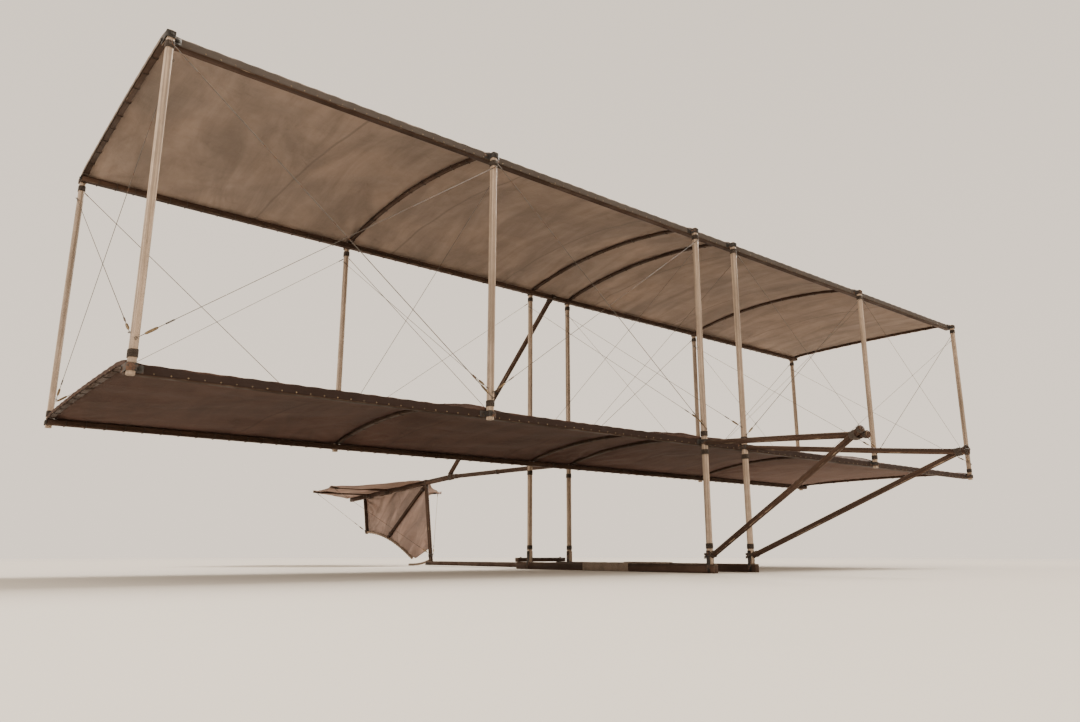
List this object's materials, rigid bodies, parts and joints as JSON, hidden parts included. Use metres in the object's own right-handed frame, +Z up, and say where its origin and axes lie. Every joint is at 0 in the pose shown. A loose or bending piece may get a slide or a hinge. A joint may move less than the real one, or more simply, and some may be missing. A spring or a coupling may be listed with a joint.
{
  "type": "two-surface hang glider",
  "caption": "Two-surface hang glider of wood and cloth: arched wings one above the other, arm bars, forward outriggers and a small tail on booms.",
  "frame": {"origin": "on the floor under the middle of the whole glider's box", "axes": "+X to the flyer's left wing tip, -Y forward, +Z up"},
  "size_m": [5.36, 4.947, 1.7783],
  "materials": {
    "frame_wood": "dark varnished ash, worn satin",
    "upright_wood": "oiled ash, satin",
    "bent_cane": "bent cane, satin",
    "cotton_cloth": "unbleached cotton, matt",
    "stay_wire": "drawn steel wire, dull"
  },
  "bodies": {
    "root": {"arm_bar_left": "frame_wood", "arm_bar_right": "frame_wood", "fin_brace": "frame_wood", "fin_cloth": "cotton_cloth", "fin_front_post": "frame_wood", "fin_lower_cane": "bent_cane", "fin_rear_post": "frame_wood", "front_post_left_centre": "upright_wood", "front_post_right_centre": "upright_wood", "front_stay_inner_left": "stay_wire", "front_stay_inner_right": "stay_wire", "front_stay_outer_left": "stay_wire", "front_stay_outer_right": "stay_wire", "front_strut_left_middle": "upright_wood", "front_strut_left_tip": "upright_wood", "front_strut_right_middle": "upright_wood", "front_strut_right_tip": "upright_wood", "low_boom_left": "frame_wood", "low_boom_right": "frame_wood", "lower_centre_boom": "frame_wood", "lower_front_spar": "frame_wood", "lower_outrigger_left": "frame_wood", "lower_outrigger_right": "frame_wood", "lower_rear_spar": "frame_wood", "lower_rib_left_centre": "frame_wood", "lower_rib_left_middle": "frame_wood", "lower_rib_left_tip": "frame_wood", "lower_rib_right_centre": "frame_wood", "lower_rib_right_middle": "frame_wood", "lower_rib_right_tip": "frame_wood", "lower_wing_cloth": "cotton_cloth", "rear_cross_bar": "frame_wood", "rear_post_left_centre": "upright_wood", "rear_post_right_centre": "upright_wood", "rear_stay_inner_left": "stay_wire", "rear_stay_inner_right": "stay_wire", "rear_stay_outer_left": "stay_wire", "rear_stay_outer_right": "stay_wire", "rear_strut_left_middle": "upright_wood", "rear_strut_left_tip": "upright_wood", "rear_strut_right_middle": "upright_wood", "rear_strut_right_tip": "upright_wood", "tail_cloth": "cotton_cloth", "tail_front_cross_spar": "frame_wood", "tail_keel": "frame_wood", "tail_rear_cross_spar": "frame_wood", "tail_skid": "bent_cane", "upper_centre_boom": "frame_wood", "upper_front_spar": "frame_wood", "upper_outrigger_left": "frame_wood", "upper_outrigger_right": "frame_wood", "upper_rear_spar": "frame_wood", "upper_rib_left_centre": "frame_wood", "upper_rib_left_middle": "frame_wood", "upper_rib_left_tip": "frame_wood", "upper_rib_right_centre": "frame_wood", "upper_rib_right_middle": "frame_wood", "upper_rib_right_tip": "frame_wood", "upper_wing_cloth": "cotton_cloth"}
  },
  "joints": []
}
